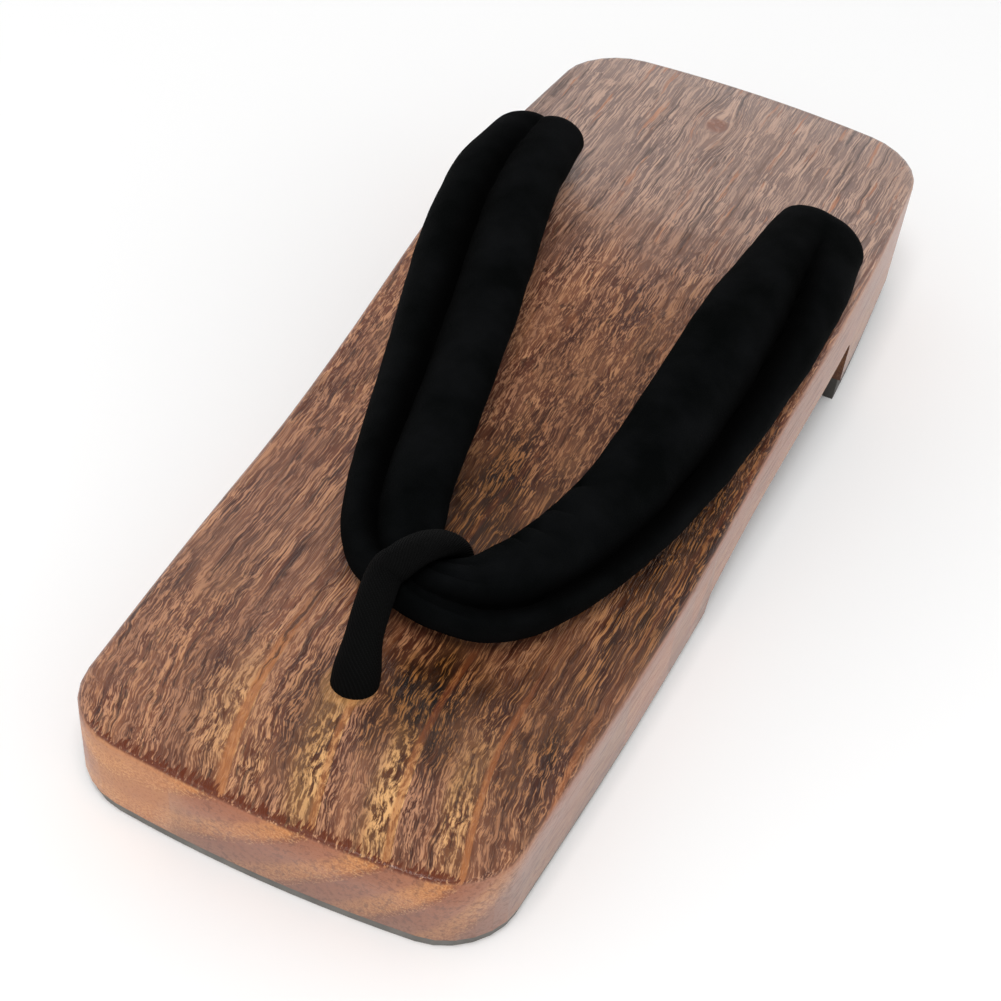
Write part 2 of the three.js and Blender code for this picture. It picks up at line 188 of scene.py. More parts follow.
late_wood = add(tree, "MapRange", {"Value": ring, 1: 0.35, 2: 0.85}, interpolation_type="SMOOTHSTEP")

# Where the wood differs: golden before the front rings, darker beside the toe cord and by the
# arms, partly from burn and partly as painted shade and a painted dark reflection, and greyer at
# the heel, where the grey is a painted reflection of the lacquer's haze. Fibres are short flecks at
# the toe and long streaks behind it.
patch = grain(place, 9, 26)
golden = near(place, (6, -114, 22), (40, 34, 60), 1.0, 0.35, 0.9)
gathered = add(tree, "Math", {0: patch, 1: 1.6, 2: late_wood}, operation="MULTIPLY_ADD")
gathered = add(tree, "MapRange", {"Value": gathered, 1: 0.62, 2: 1.6}, interpolation_type="SMOOTHSTEP")
golden = add(tree, "Math", {0: golden, 1: gathered}, operation="MULTIPLY")
# The first spot, round the toe cord, is burn, made darkest where the cord and band cast their shadow:
# partly painted shadow.
scorch_and_shade = near(place, (15, -90, 22), (20, 24, 60), 1.0, 0.3)
# The spots at (0, -45) and (8, 5) darken the deck between the arms: painted shade. Those at (40, -30)
# and (34, -85), beside the right arm, are partly burn and partly a painted dark reflection of the arm.
# The rest are burn.
for centre, reach, most in (((20, -98, 22), (7, 20, 60), 1.0), ((0, -45, 24), (26, 50, 60), 0.85),
                            ((8, 5, 30), (24, 60, 60), 0.35), ((40, -30, 30), (20, 85, 60), 0.85),
                            ((34, -85, 30), (20, 45, 60), 0.85), ((30, -102, 22), (14, 20, 60), 0.55),
                            ((-6, -108, 22), (10, 24, 60), 0.4),
                            ((7, -104, 22), (5, 14, 60), 0.7), ((-34, -100, 22), (14, 30, 60), 0.25)):
    spot = near(place, centre, reach, 1.0, 0.25, most)
    scorch_and_shade = add(tree, "Math", {0: scorch_and_shade, 1: spot}, operation="MAXIMUM")
shade = add(tree, "MapRange", {"Value": patch, 1: 0.42, 2: 0.6, 3: 1.0, 4: 0.6})
scorch_and_shade = add(tree, "Math", {0: scorch_and_shade, 1: shade}, operation="MULTIPLY")
heel = add(tree, "MapRange", {"Value": along, 1: 20.0, 2: 95.0}, interpolation_type="SMOOTHSTEP")

flecks = grain(waved, 0.32, 3.4, 2.0, 0.6)
streaks = grain(waved, 0.32, 13, 2.0, 0.6)
fibres = add(tree, "Mix", {"Factor": toe, "A": streaks, "B": flecks})
ridges = add(tree, "MapRange", {"Value": fibres, 1: 0.42, 2: 0.6}, interpolation_type="SMOOTHSTEP")
clumps = grain(waved, 1.1, 16, 2.0, 0.6)
fibres = add(tree, "Mix", {"Factor": 0.35, "A": fibres, "B": clumps})
curls = grain(waved, 0.8, 3.2, 3.0, 0.65)
curled = add(tree, "Math", {0: golden, 1: 0.8}, operation="MULTIPLY")
fibres = add(tree, "Mix", {"Factor": curled, "A": fibres, "B": curls})
cover = add(tree, "Math", {0: golden, 1: 0.015, 2: fibres}, operation="MULTIPLY_ADD")
cover = add(tree, "Math", {0: scorch_and_shade, 1: -0.035, 2: cover}, operation="MULTIPLY_ADD")
raised = add(tree, "MapRange", {"Value": cover, 1: 0.455, 2: 0.59}, interpolation_type="SMOOTHSTEP")
# In places the brush has left the fibres faint, and most of all at the heel
brushed = add(tree, "MapRange", {"Value": grain(place, 7, 22), 1: 0.4, 2: 0.6, 3: 0.55, 4: 1.0})
worn = add(tree, "MapRange", {"Value": heel, 3: 1.0, 4: 0.85})
brushed = add(tree, "Math", {0: brushed, 1: worn}, operation="MULTIPLY")
brushed = add(tree, "Math", {0: brushed, 1: scorch_and_shade}, operation="MAXIMUM")
raised = add(tree, "Mix", {"Factor": brushed, "A": 0.38, "B": raised})

stripe = grain(place, 3.5, 90, 3.0, 0.6)
charred = add(tree, "ValToRGB", {0: stripe}, [(0.35, "#4a2519"), (0.5, "#603424"), (0.65, "#7a4832")])
dim = add(tree, "MapRange", {"Value": patch, 1: 0.5, 2: 0.38, 4: 0.4}, interpolation_type="SMOOTHSTEP")
charred = add(tree, "Mix", {"Factor": dim, "A": charred, "B": "#42251b"}, data_type="RGBA")
# Painted reflection: at the heel the char is mixed toward grey for the lacquer's haze.
charred = add(tree, "Mix", {"Factor": heel, "A": charred, "B": "#694f47"}, data_type="RGBA")
charred = add(tree, "Mix", {"Factor": golden, "A": charred, "B": "#552c11"}, data_type="RGBA")
charred = add(tree, "Mix", {"Factor": scorch_and_shade, "A": charred, "B": "#0e0300"}, data_type="RGBA")
fibre = add(tree, "ValToRGB", {0: stripe}, [(0.35, "#a77457"), (0.5, "#bb8664"), (0.65, "#c9926a")])
# Painted reflection: at the heel the fibres are greyed too, for the lacquer's haze.
fibre = add(tree, "Mix", {"Factor": heel, "A": fibre, "B": "#c19c86"}, data_type="RGBA")
fibre = add(tree, "Mix", {"Factor": golden, "A": fibre, "B": "#e6b073"}, data_type="RGBA")
fibre = add(tree, "Mix", {"Factor": scorch_and_shade, "A": fibre, "B": "#96602c"}, data_type="RGBA")
deck = add(tree, "Mix", {"Factor": raised, "A": charred, "B": fibre}, data_type="RGBA")

# Each ring comes up as a line, smooth and orange at the toe and dark behind it, and long streaks
# run between, orange ones mostly at the heel
ring_colour = add(tree, "Mix", {"Factor": toe, "A": "#4a2618", "B": "#ab6a3c"}, data_type="RGBA")
ring_colour = add(tree, "Mix", {"Factor": scorch_and_shade, "A": ring_colour, "B": "#6b3012"}, data_type="RGBA")
smooth = add(tree, "MapRange", {"Value": toe, 3: 0.45, 4: 0.75})
smooth = add(tree, "Math", {0: ring_line, 1: smooth}, operation="MULTIPLY")
broken = add(tree, "MapRange", {"Value": stripe, 1: 0.38, 2: 0.58, 3: 0.45})
smooth = add(tree, "Math", {0: smooth, 1: broken}, operation="MULTIPLY")
deck = add(tree, "Mix", {"Factor": smooth, "A": deck, "B": ring_colour}, data_type="RGBA")
orange = add(tree, "MapRange", {"Value": grain(waved, 1.6, 30), 1: 0.6, 2: 0.7},
             interpolation_type="SMOOTHSTEP")
much = add(tree, "MapRange", {"Value": heel, 3: 0.15, 4: 0.65})
orange = add(tree, "Math", {0: orange, 1: much}, operation="MULTIPLY")
deck = add(tree, "Mix", {"Factor": orange, "A": deck, "B": "#b06a3c"}, data_type="RGBA")
dark_streak = add(tree, "MapRange", {"Value": grain(waved, 0.9, 28), 1: 0.43, 2: 0.33, 4: 0.75},
                  interpolation_type="SMOOTHSTEP")
deck = add(tree, "Mix", {"Factor": dark_streak, "A": deck, "B": "#35180d"}, data_type="RGBA")
knot_ring = near(plain, knot_place, (3.2, 3.8, 30), 1.1, 0.6, 0.6)
deck = add(tree, "Mix", {"Factor": knot_ring, "A": deck, "B": "#7c4630"}, data_type="RGBA")

# A golden rim where the front hole was drilled
rim = near(plain, (-0.5, -98.2, 22), (5.8, 6.2, 60), 1.0, 0.85, 0.3)
deck = add(tree, "Mix", {"Factor": rim, "A": deck, "B": "#c4905a"}, data_type="RGBA")

# The torch burnt a dark fringe into the ends of the fibres, just inside the top edge
corner_radius, bow = 13.5, 3.8
half_length, half_width = cad_high.y / MM, cad_high.x / MM
inside = add(tree, "VectorMath", {0: plain}, operation="ABSOLUTE")
sideways = add(tree, "SeparateXYZ", {0: inside}).node.outputs["X"]
bowed = add(tree, "Math", {0: sideways, 1: 2.0}, operation="POWER")
bowed = add(tree, "Math", {0: bowed, 1: bow / half_width ** 2}, operation="MULTIPLY")
bowed = add(tree, "CombineXYZ", {"Y": bowed})
inside = add(tree, "VectorMath", {0: inside, 1: bowed}, operation="ADD")
straight = (half_width - corner_radius, half_length - corner_radius, 0)
inside = add(tree, "VectorMath", {0: inside, 1: straight}, operation="SUBTRACT")
inside = add(tree, "VectorMath", {0: inside, 1: (0, 0, 0)}, operation="MAXIMUM")
inside = add(tree, "VectorMath", {0: inside, 1: (1, 1, 0)}, operation="MULTIPLY")
inside = add(tree, "VectorMath", {0: inside}, operation="LENGTH")
inside = add(tree, "Math", {0: corner_radius, 1: inside}, operation="SUBTRACT")
teeth = add(tree, "MapRange", {"Value": grain(plain, 0.7, 9), 1: 0.38, 2: 0.62, 3: -1.6, 4: 2.0})
inside = add(tree, "Math", {0: inside, 1: teeth}, operation="SUBTRACT")
fringe = add(tree, "MapRange", {"Value": inside, 1: 2.0, 2: 0.9}, interpolation_type="SMOOTHSTEP")
front = add(tree, "MapRange", {"Value": along, 1: -85.0, 2: -118.0, 3: 0.45, 4: 0.95})
fringe = add(tree, "Math", {0: fringe, 1: front}, operation="MULTIPLY")
deck = add(tree, "Mix", {"Factor": fringe, "A": deck, "B": "#5f2609"}, data_type="RGBA")

# Walls: sawn across the rings and only warmed by the flame, a plain and a golden band in each
pores = grain(waved, 0.5, 3.0, 4.0, 0.7)
sawn = add(tree, "ValToRGB", {0: ring}, [(0.0, "#8f5a42"), (0.4, "#9d664a"), (0.55, "#b87c4c"),
                                         (0.82, "#b5743f"), (0.93, "#874c2c"), (1.0, "#8f5a42")])
# Painted reflection: the side walls are mixed toward a pale pinkish grey, standing in for the white
# floor's reflection over the wood's own colour. The end walls keep their sawn colour.
end_wall = add(tree, "Math", {0: facing["Y"]}, operation="ABSOLUTE")
end_wall = add(tree, "MapRange", {"Value": end_wall, 1: 0.3, 2: 0.85, 3: 0.35, 4: 1.0})
sawn = add(tree, "Mix", {"Factor": end_wall, "A": "#96796b", "B": sawn}, data_type="RGBA")
sawn_line = add(tree, "MapRange", {"Value": clumps, 1: 0.5, 2: 0.36, 4: 0.6})
sawn = add(tree, "Mix", {"Factor": sawn_line, "A": sawn, "B": "#6d4534"}, data_type="RGBA")
left_corner = near(plain, (-27, -133, 10), (17, 14, 40), 1.0, 0.3, 0.75)
sawn = add(tree, "Mix", {"Factor": left_corner, "A": sawn, "B": "#bb8459"}, data_type="RGBA")
golden_dots = add(tree, "MapRange", {"Value": pores, 1: 0.5, 2: 0.62, 4: 0.5})
golden_dots = add(tree, "Math", {0: golden_dots, 1: late_wood}, operation="MULTIPLY")
golden_dots = add(tree, "Math", {0: golden_dots, 1: end_wall}, operation="MULTIPLY")
sawn = add(tree, "Mix", {"Factor": golden_dots, "A": sawn, "B": "#d8a470"}, data_type="RGBA")
pore = add(tree, "MapRange", {"Value": pores, 1: 0.5, 2: 0.36, 4: 0.45})
sawn = add(tree, "Mix", {"Factor": pore, "A": sawn, "B": "#7b4529"}, data_type="RGBA")
warmth = add(tree, "MapRange", {"Value": grain(place, 16, 30), 1: 0.4, 2: 0.62, 4: 0.35})
sawn = add(tree, "Mix", {"Factor": warmth, "A": sawn, "B": "#a06348"}, data_type="RGBA")

# The walls inside the arch, under the block, are made dark brown
inner = add(tree, "Math", {0: facing["X"]}, operation="ABSOLUTE")
inner = add(tree, "MapRange", {"Value": inner, 1: 0.7, 2: 0.3})
arch = near(plain, (0, 21, 8), (200, 56, 60), 1.0, 0.9, 0.75)
inner = add(tree, "Math", {0: inner, 1: arch}, operation="MULTIPLY")
sawn = add(tree, "Mix", {"Factor": inner, "A": sawn, "B": "#38211a"}, data_type="RGBA")

on_deck = add(tree, "MapRange", {"Value": facing["Z"], 1: 0.45, 2: 0.75},
              interpolation_type="SMOOTHSTEP")
colour = add(tree, "Mix", {"Factor": on_deck, "A": sawn, "B": deck}, data_type="RGBA")
tree.links.new(colour, shader.inputs["Base Color"])

# The brush leaves the hard fibres about 0.2 mm proud
relief = add(tree, "Mix", {"Factor": on_deck, "A": pores, "B": ridges})
brushed_grain = add(tree, "Bump", {"Height": relief, "Strength": 0.45, "Distance": 0.2 * MM})
tree.links.new(brushed_grain, shader.inputs["Normal"])
tree.links.new(brushed_grain, shader.inputs["Coat Normal"])


def copied(node, name):
    """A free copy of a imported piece, with its loose triangles joined."""
    piece = bpy.data.objects.new(name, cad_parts[node].data.copy())
    scene.collection.objects.link(piece)
    piece.data.materials.clear()
    bpy.ops.object.select_all(action="DESELECT")
    bpy.context.view_layer.objects.active = piece
    piece.select_set(True)
    bpy.ops.object.mode_set(mode="EDIT")
    bpy.ops.mesh.select_all(action="SELECT")
    bpy.ops.mesh.remove_doubles(threshold=0.005 * MM)
    bpy.ops.mesh.normals_make_consistent(inside=False)
    bpy.ops.object.mode_set(mode="OBJECT")
    return piece


def seated(piece, material, slot, *nodes):
    """Gives a piece its material and its place on the one body."""
    piece.data.materials.clear()
    piece.data.materials.append(material)
    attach(piece, "root")
    if nodes:
        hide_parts(*nodes)


block = copied("dai", "wooden_block")
bpy.ops.object.shade_smooth_by_angle(angle=math.radians(32))
seated(block, wood, "paulownia", "dai")


# The soles: two sheets of rubber, cut to the feet of the block, glued on and left plain below. The
# front one is mid grey; the one behind is painted dark grey, as painted shade under the arch.
rubber, tree, shader = new_material("sole_rubber", Roughness=0.62, IOR=1.52)
place = add(tree, "TexCoord").node.outputs["Object"]
mottle = add(tree, "TexNoise", {0: place, "Scale": 220.0, "Detail": 5.0})
grit = add(tree, "TexNoise", {0: place, "Scale": 1600.0, "Detail": 3.0})
light_grey = add(tree, "ValToRGB", {0: mottle}, [(0.35, "#62605b"), (0.65, "#716f6a")])
# Painted shade: the heel sheet is made darker, for the shadow it stands in under the arch.
heel_shade_grey = add(tree, "ValToRGB", {0: mottle}, [(0.35, "#302e2a"), (0.65, "#3c3a36")])
behind = add(tree, "SeparateXYZ", {0: place}).node.outputs["Y"]
behind = add(tree, "MapRange", {"Value": behind, 1: 0.0, 2: 0.05})
rubber_colour = add(tree, "Mix", {"Factor": behind, "A": light_grey, "B": heel_shade_grey}, data_type="RGBA")
tree.links.new(rubber_colour, shader.inputs["Base Color"])
pitted = add(tree, "Bump", {"Height": grit, "Strength": 0.4, "Distance": 0.15 * MM})
tree.links.new(pitted, shader.inputs["Normal"])

for node, name in (("front_sole_pad", "front_sole"), ("heel_sole_pad", "heel_sole")):
    pad = copied(node, name)
    rounded = pad.modifiers.new("rounded", "BEVEL")
    rounded.width = 0.35 * MM
    rounded.segments = 2
    rounded.limit_method = "ANGLE"
    rounded.angle_limit = math.radians(50)
    bpy.ops.object.modifier_apply(modifier="rounded")
    bpy.ops.object.shade_smooth_by_angle(angle=math.radians(32))
    seated(pad, rubber, "sole_rubber", node)


# The thong: a stuffed tube of black cotton velvet with a cord sewn along it, so it lies as two
# soft rolls. It turns back behind the toe cord, where the cloth gathers in small puckers.
velvet, tree, shader = new_material("black_velvet", Roughness=1.0, IOR=1.4, Specular_IOR_Level=0.04)
place = add(tree, "TexCoord").node.outputs["Object"]
nap = add(tree, "TexNoise", {0: place, "Scale": 2600.0, "Detail": 2.0})
brushed = add(tree, "TexNoise", {0: place, "Scale": 90.0, "Detail": 4.0})
velvet_colour = add(tree, "ValToRGB", {0: brushed}, [(0.35, "#030404"), (0.7, "#0b0c0d")])
# Painted shade: the groove between the two rolls is darkened to near black, as the shade that falls in
# it.
groove_shade = add(tree, "Attribute", attribute_name="groove_shade").node.outputs["Fac"]
velvet_colour = add(tree, "Mix", {"Factor": groove_shade, "A": velvet_colour, "B": "#010101"},
                    data_type="RGBA")
tree.links.new(velvet_colour, shader.inputs["Base Color"])
napped = add(tree, "Bump", {"Height": nap, "Strength": 0.4, "Distance": 0.25 * MM})
tree.links.new(napped, shader.inputs["Normal"])

# The block's sizes on which the thong lies, in mm. Places along it are counted from the toe.
TOE = -135.0
front_hole, rear_hole, hole_spread = 38.0, 191.0, 36.5
front_height, heel_height, rise_start, rise_end = 22.0, 35.5, 82.0, 200.0
band_width, band_thickness, cord_thickness, soft_gap = 28.0, 14.0, 4.6, 0.3

# From the left rear end round the front to the right one: place across and along as shares of
# the holes' spread and run, width and thickness as shares, turn and lean in degrees, rise as a
# share of the toe cord, then the groove's place and depth
band_columns = ("across", "along", "wide", "turn", "thick", "lean", "rise", "groove", "fold")
band_rows = [
    (-1.0, 1.08, 0.81, 8, 0.95, 4, 0.0, 0.0, 0.3),
    (-0.98, 0.95, 0.94, 0, 1.0, 8, 0.0, -0.05, 0.8),
    (-0.88, 0.815, 1.02, -3, 1.0, 12, 0.0, -0.1, 1.0),
    (-0.72, 0.65, 1.0, -5, 1.0, 14, 0.1, -0.1, 1.0),
    (-0.555, 0.48, 0.93, -7, 1.0, 14, 0.2, -0.15, 1.0),
    (-0.39, 0.315, 0.8, 3, 1.0, 16, 0.2, -0.25, 1.0),
    (-0.22, 0.205, 0.69, 33, 0.8, 13, 0.2, -0.3, 0.8),
    (0.0, 0.163, 0.54, 62, 0.66, 9, 0.3, -0.3, 0.5),
    (0.22, 0.152, 0.55, 97, 0.84, 18, 0.3, -0.35, 0.7),
    (0.44, 0.173, 0.63, 127, 0.95, 30, 0.3, -0.4, 1.0),
    (0.615, 0.245, 0.65, 153, 1.0, 33, 0.2, -0.45, 1.0),
    (0.8, 0.405, 0.715, 178, 1.0, 35, 0.1, -0.45, 1.0),
    (0.91, 0.605, 0.845, 186, 1.0, 33, 0.0, -0.4, 1.0),
    (0.965, 0.8, 0.93, 185, 1.0, 24, 0.0, -0.3, 1.0),
    (0.99, 0.945, 0.91, 178, 1.0, 12, 0.0, -0.15, 0.85),
    (0.99, 1.07, 0.84, 167, 0.95, 4, 0.0, -0.05, 0.0),
]
last_row = len(band_rows) - 1


def deck_height(from_toe):
    """The deck's height in mm. It rises in a soft S between the front and the heel."""
    t = min(max((from_toe - rise_start) / (rise_end - rise_start), 0.0), 1.0)
    return front_height + (heel_height - front_height) * t * t * (3 - 2 * t)


def band_value(column, at):
    """A smooth value of one column at any place between the rows."""
    k = band_columns.index(column)
    i = min(int(at), last_row - 1)
    t = at - i

    def slope(n):
        before, after = max(n - 1, 0), min(n + 1, last_row)
        return (band_rows[after][k] - band_rows[before][k]) / (after - before)

    start, change = band_rows[i][k], band_rows[i + 1][k] - band_rows[i][k]
    bend = (1 - t) * (slope(i) - change) - t * (slope(i + 1) - change)
    return start + change * t + t * (1 - t) * bend


def bell(distance, width):
    """A soft bump: 1 at no distance, and near 0 past twice its width."""
    return math.exp(-(distance / width) ** 2)


def two_rolls(across, groove, share):
    """Height of the top, from 0 to 1, of two rolls that meet in a groove."""
    plain = math.sqrt(max(1 - across * across, 0.0))
    low, high = (groove, 1.0) if across > groove else (-1.0, groove)
    middle, half = (low + high) / 2, (high - low) / 2
    roll = math.sqrt(max(1 - ((across - middle) / half) ** 2, 0.0))
    return plain * (1 - share) + share * (0.25 * plain + 0.75) * roll


def band_section(at):
    """The band's section at any place: its values, middle, two ways and half sizes, in mm."""
    value = {column: band_value(column, at) for column in band_columns}
    centre = Vector((value["across"] * hole_spread,
                     front_hole + value["along"] * (rear_hole - front_hole), 0))
    turn, tilt = math.radians(value["turn"]), math.radians(value["lean"])
    across = Vector((math.cos(turn), math.sin(turn), 0))
    half_thick = value["thick"] * band_thickness / 2
    seen = value["wide"] * band_width / 2
    half_wide = math.sqrt(max(seen ** 2 - (half_thick * math.sin(tilt)) ** 2, 9)) / math.cos(tilt)
    down = math.hypot(half_wide * math.sin(tilt), half_thick * math.cos(tilt))
    edges = [centre + across * seen * sign for sign in (-1, 1)]
    centre.z = max(deck_height(e.y) for e in edges) + soft_gap + down
    centre.z += value["rise"] * (cord_thickness + soft_gap)
    wide = across * math.cos(tilt) + Vector((0, 0, math.sin(tilt)))
    thick = across * -math.sin(tilt) + Vector((0, 0, math.cos(tilt)))
    return value, centre, wide, thick, half_wide, half_thick


def band_ring(at, shrink=1.0, shift=(0.0, 0.0, 0.0), sides=128):
    """One ring of points round the band, in mm, with how much painted shade the groove puts on each."""
    value, centre, wide, thick, half_wide, half_thick = band_section(at)
    centre += Vector(shift)
    ring, dark = [], []
    for k in range(sides):
        t = 2 * math.pi * k / sides
        p, face = math.cos(t), math.sin(t)
        if face > 0:
            reach = half_thick * two_rolls(p, value["groove"], 0.8 * value["fold"])
            # The groove's painted shade, strongest where the fold is deepest
            dark.append(value["fold"] * bell(p - value["groove"], 0.27))
            # Gathers along the sewn groove, and along the right arm's inner edge by the crossing
            reach -= 0.3 * bell(p - value["groove"], 0.3) * (0.5 + 0.5 * math.sin(at * 19))
            gather = bell(at - 10.2, 0.75) * max(0.0, p) * max(0.0, math.sin(at * 17)) ** 2
        else:
            reach = face * half_thick + 0.7 * bell(p, 0.25)
            gather = 0.0
            dark.append(0.0)
        # Creases that run round the front of the turn, pulled tight by the toe cord
        if face > 0:
            drift = 0.09 * (at - 8.0)
            for fold_place, fold_depth in ((0.62, 0.8), (0.22, 1.3), (-0.62, 1.1)):
                reach -= fold_depth * bell(p - fold_place + drift, 0.085) * bell(at - 8.0, 1.0)
        ring.append(centre + wide * p * (half_wide - 2.2 * gather) * shrink + thick * reach * shrink)
    return list(zip(ring, dark)), half_wide, half_thick


# Rings along both arms, and smaller ones that close each end in a rounded tip
steps_per_row, end_steps = 16, 12
rings = []
for end in (0, last_row):
    ring, half_wide, half_thick = band_ring(end)
    tip = []
    for i in range(1, end_steps + 1):
        t = (i / end_steps) * math.pi / 2
        shift = (0, math.sin(t) * half_wide * 0.8, -half_thick * (1 - math.cos(t)) * 0.6)
        tip.append(band_ring(end, max(math.cos(t), 0.04), shift)[0])
    if end == 0:
        arms = [band_ring(i / steps_per_row)[0] for i in range(last_row * steps_per_row + 1)]
        rings = tip[::-1] + arms
    else:
        rings += tip

# The stuffing is a little uneven, by up to 0.3 mm over a centimetre and 0.12 mm over half of one
shape = bmesh.new()
# Each point keeps the painted shade of the groove
groove_shade = shape.verts.layers.float.new("groove_shade")
grid = []
for ring in rings:
    row = []
    middle = sum((point for point, dark in ring), Vector()) / len(ring)
    for point, dark in ring:
        puff = 0.3 * noise.noise(point / 12) + 0.12 * noise.noise(point / 4.5)
        point = point + (point - middle).normalized() * puff
        row.append(shape.verts.new(Vector((point.x, point.y + TOE, point.z)) * MM))
        row[-1][groove_shade] = dark
    grid.append(row)
for a, b in zip(grid, grid[1:]):
    for k in range(len(a)):
        m = (k + 1) % len(a)
        shape.faces.new((a[k], a[m], b[m], b[k]))
shape.faces.new(grid[0])
shape.faces.new(grid[-1][::-1])
bmesh.ops.recalc_face_normals(shape, faces=shape.faces)
data = bpy.data.meshes.new("velvet_thong")
shape.to_mesh(data)
shape.free()
data.shade_smooth()
thong = bpy.data.objects.new("velvet_thong", data)
scene.collection.objects.link(thong)
seated(thong, velvet, "velvet", "hanao")


# The toe cord: a flat tube of charcoal ribbed cloth. It comes up through the front hole, crosses
# over the thong's turn and dives behind it, and is knotted in the hollow under the block.
ribbed, tree, shader = new_material("ribbed_cloth", Roughness=0.85, IOR=1.45, Specular_IOR_Level=0.08)
along = add(tree, "UVMap", uv_map="cloth")
ribs = add(tree, "TexWave", {0: along, "Scale": 1.0, "Distortion": 0.6, "Detail": 1.0},
           wave_type="BANDS", bands_direction="DIAGONAL").node.outputs["Fac"]
shade = add(tree, "TexNoise", {0: along, "Scale": 0.6, "Detail": 3.0})
cloth = add(tree, "Mix", {"Factor": shade, "A": "#030303", "B": "#080808"}, data_type="RGBA")
cloth = add(tree, "Mix", {"Factor": ribs, "A": "#020202", "B": cloth}, data_type="RGBA")
tree.links.new(cloth, shader.inputs["Base Color"])
raised = add(tree, "Bump", {"Height": ribs, "Strength": 0.8, "Distance": 0.25 * MM})
tree.links.new(raised, shader.inputs["Normal"])


def smooth_path(points, steps):
    """Even points on a smooth curve through the given ones."""
    ends = [points[0] * 2 - points[1]] + points + [points[-1] * 2 - points[-2]]
    found = []
    for i in range(len(points) - 1):
        a, b, c, d = ends[i:i + 4]
        for k in range(steps):
            t = k / steps
            found.append((b * 2 + (c - a) * t + (a * 2 - b * 5 + c * 4 - d) * t ** 2
                          + (b * 3 - a - c * 3 + d) * t ** 3) / 2)
    return found + [points[-1]]


def swept(name, path, width, thickness, side, closed=False, sides=20, rib=1.4):
    """A cord of oval section along a path, with a UV map in units of its ribs."""
    shape = bmesh.new()
    chart = shape.loops.layers.uv.new("cloth")
    count = len(path)
    rings, lengths, run = [], [], 0.0
    for i, centre in enumerate(path):
        before = path[(i - 1) % count] if closed else path[max(i - 1, 0)]
        after = path[(i + 1) % count] if closed else path[min(i + 1, count - 1)]
        way = (after - before).normalized()
        across = (side(i) - way * side(i).dot(way)).normalized()
        out = way.cross(across)
        wide = width(centre) if callable(width) else width
        thick = thickness(centre) if callable(thickness) else thickness
        if i:
            run += (centre - path[i - 1]).length
        lengths.append(run)
        turns = [2 * math.pi * k / sides for k in range(sides)]
        rings.append([shape.verts.new(
            centre + across * math.cos(t) * wide / 2 + out * math.sin(t) * thick / 2) for t in turns])
    girth = math.pi * (wide + thick) / 2
    for i in range(count if closed else count - 1):
        j = (i + 1) % count
        for k in range(sides):
            m = (k + 1) % sides
            face = shape.faces.new((rings[i][k], rings[i][m], rings[j][m], rings[j][k]))
            end = lengths[j] if j else run + (path[0] - path[-1]).length
            corners = ((k, lengths[i]), (k + 1, lengths[i]), (k + 1, end), (k, end))
            for loop, (u, v) in zip(face.loops, corners):
                loop[chart].uv = (u / sides * girth / (rib * MM), v / (rib * MM))
    if not closed:
        shape.faces.new(rings[0])
        shape.faces.new(rings[-1][::-1])
    bmesh.ops.recalc_face_normals(shape, faces=shape.faces)
    data = bpy.data.meshes.new(name)
    shape.to_mesh(data)
    shape.free()
    data.shade_smooth()
    piece = bpy.data.objects.new(name, data)
    scene.collection.objects.link(piece)
    return piece


# The cord's way, in mm: up from its knot through the front hole, a little bowed forward, and then
# round the band at its narrowest row, by turns in degrees about the band's middle. Over the top it
# presses the padding down a little.
wrapped_row, cord_bow, cord_press = 7, 1.5, 0.15
wrap_turns = (135, 112, 90, 66, 40, 14, -14, -44)
centre, wide, thick, half_wide = band_section(wrapped_row)[1:5]
beside = [band_section(wrapped_row + step) for step in (-0.45, -0.25, 0.0, 0.25, 0.45)]
band_top = max(section[1].z + section[5] for section in beside)
away = cord_thickness / 2 + soft_gap
wrap = []
for degrees in wrap_turns:
    turn = math.radians(degrees)
    press = cord_press if 60 < degrees < 120 else 0.0
    wrap.append(centre + wide * math.cos(turn) * (half_wide + away)
                + thick * (math.sin(turn) * (band_top - centre.z + away) - press))
hole = Vector((0, front_hole, front_height))
leaning = hole.lerp(wrap[0], 0.5) + Vector((0, -cord_bow, cord_bow))
cord_depths = (13.3, 6.0)
cord_route = [hole - Vector((0, 0, depth)) for depth in cord_depths]
cord_route += [hole + Vector((0, 0.4, 0)), leaning] + wrap
cord_path = smooth_path([Vector((p.x, p.y + TOE, p.z)) * MM for p in cord_route], 10)


def squeezed(flat, round_size):
    """The cord is drawn round where it fills its hole, up to the deck, and flat above."""
    def size(centre):
        t = min(max((centre.z / MM - 23) / 6, 0.0), 1.0)
        return (round_size + (flat - round_size) * t * t * (3 - 2 * t)) * MM
    return size


toe_cord = swept("toe_cord_cloth", cord_path, squeezed(7.4, 9.4), squeezed(4.8, 9.2),
                 lambda i: Vector((1, 0, 0)), sides=32)
seated(toe_cord, ribbed, "ribbed_cord", "toe_cord")


def knot_path(x, y, top, spread, rise):
    """The way of an overhand knot, drawn tight: three lobes that cross."""
    found = []
    for i in range(96):
        t = 2 * math.pi * i / 96
        flat = Vector((math.sin(t) + 2 * math.sin(2 * t), math.cos(t) - 2 * math.cos(2 * t)))
        found.append(Vector((x + flat.x * spread, y + flat.y * spread,
                             top - 4.0 - rise * math.sin(3 * t))) * MM)
    return found


toe_knot = swept("toe_cord_knot", knot_path(0, -97, 12.7, 2.1, 1.3), 5.2 * MM, 4.6 * MM,
                 lambda i: Vector((0, 0, 1)), closed=True, sides=14)
seated(toe_knot, ribbed, "ribbed_cord", "toe_cord")


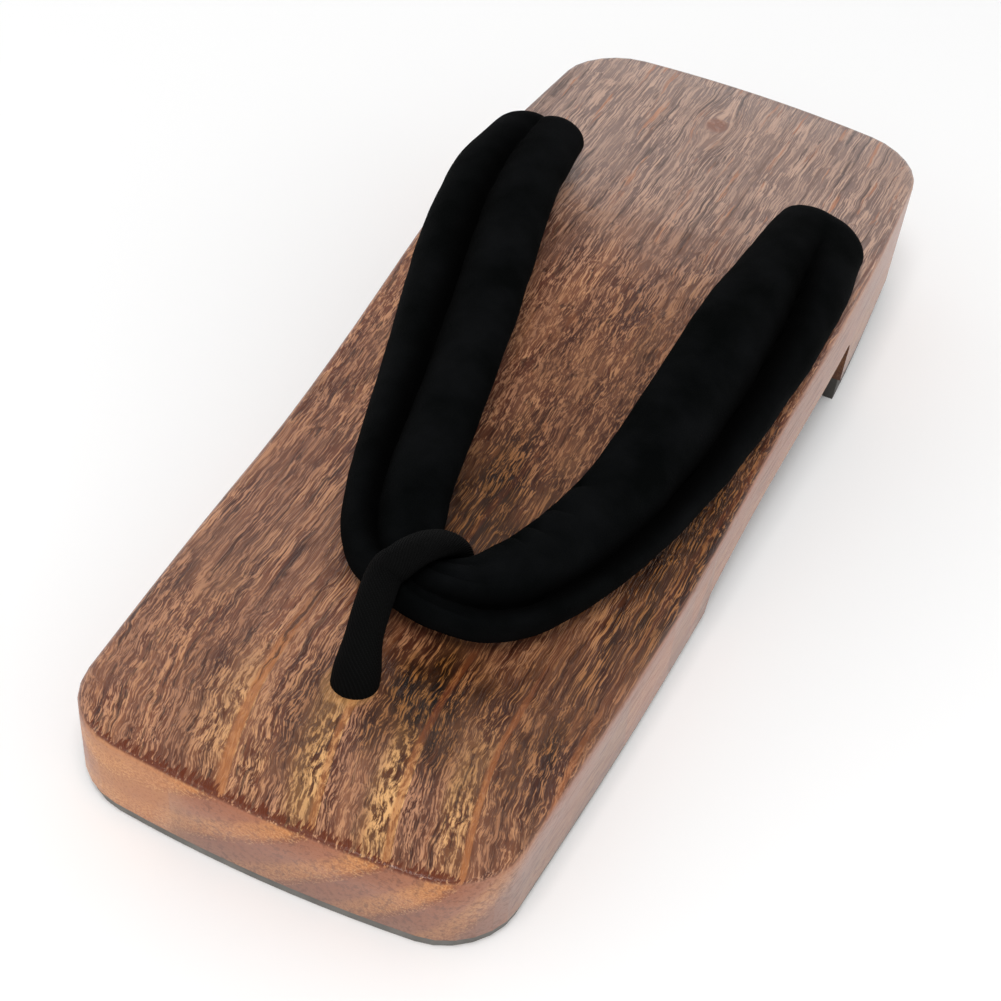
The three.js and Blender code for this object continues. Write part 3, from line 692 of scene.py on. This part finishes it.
# The rear ties: the thong's two tails of dark twisted hemp. They go down through the rear holes
# and are knotted under the arch.
hemp, tree, shader = new_material("dark_hemp", Roughness=0.9, IOR=1.5)
along = add(tree, "UVMap", uv_map="cloth")
strands = add(tree, "TexWave", {0: along, "Scale": 0.5, "Distortion": 1.5, "Detail": 2.0},
              wave_type="BANDS", bands_direction="DIAGONAL").node.outputs["Fac"]
hemp_colour = add(tree, "ValToRGB", {0: strands}, [(0.1, "#15120e"), (0.9, "#3b342b")])
tree.links.new(hemp_colour, shader.inputs["Base Color"])
twisted = add(tree, "Bump", {"Height": strands, "Strength": 0.9, "Distance": 0.4 * MM})
tree.links.new(twisted, shader.inputs["Normal"])

for side, name in ((-1, "left"), (1, "right")):
    node = "rear_tie_" + name
    low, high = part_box(node)
    x, y = (low.x + high.x) / 2 / MM, (low.y + high.y) / 2 / MM
    knot_top = low.z / MM + 8
    knot = swept("rear_knot_" + name, knot_path(x, y, knot_top, 2.1, 1.3), 5.2 * MM, 4.6 * MM,
                 lambda i: Vector((0, 0, 1)), closed=True, sides=14)
    seated(knot, hemp, "hemp", node)
    tail_path = [Vector((x, y, knot_top - 4 + k * 2)) * MM for k in range(12)]
    tail_path = [p for p in tail_path if p.z < high.z]
    tail = swept("rear_tail_" + name, tail_path, 8.0 * MM, 6.0 * MM, lambda i: Vector((1, 0, 0)))
    seated(tail, hemp, "hemp", node)


# Floor and light: a plain white sheet under soft light from all round, as in a light tent, with
# one large lamp high in front of the toe.
bpy.ops.mesh.primitive_plane_add(size=8.0, location=(0, 0, 0))
floor = bpy.context.active_object
floor.name = "floor"
paper, tree, shader = new_material("white_paper", Roughness=0.9, Base_Color="#f9f9f9",
                                   Specular_IOR_Level=0.1)
floor.data.materials.append(paper)

# The tent's walls are brighter than its roof
world = bpy.data.worlds.new("tent")
scene.world = world
world.use_nodes = True
tree = world.node_tree
upward = add(tree, "TexCoord").node.outputs["Generated"]
upward = add(tree, "SeparateXYZ", {0: upward}).node.outputs["Z"]
glow = add(tree, "MapRange", {"Value": upward, 1: 0.4, 2: 0.72, 3: 1.3, 4: 0.42},
           interpolation_type="SMOOTHSTEP")
tree.links.new(glow, tree.nodes["Background"].inputs["Strength"])
tree.nodes["Background"].inputs["Color"].default_value = linear("#ffffff")


def softbox(name, place, aim, size, watts):
    """A square lamp of a size in metres, turned to its aim."""
    data = bpy.data.lights.new(name, "AREA")
    data.size = size
    data.energy = watts
    lamp = bpy.data.objects.new(name, data)
    scene.collection.objects.link(lamp)
    place, aim = Vector(place), Vector(aim)
    turn = (aim - place).to_track_quat("-Z", "Y").to_matrix().to_4x4()
    lamp.matrix_world = Matrix.Translation(place) @ turn


softbox("key", (0.1, -0.7, 1.4), (0, 0, 0), 0.6, 12.0)
scene.view_settings.view_transform = "Standard"
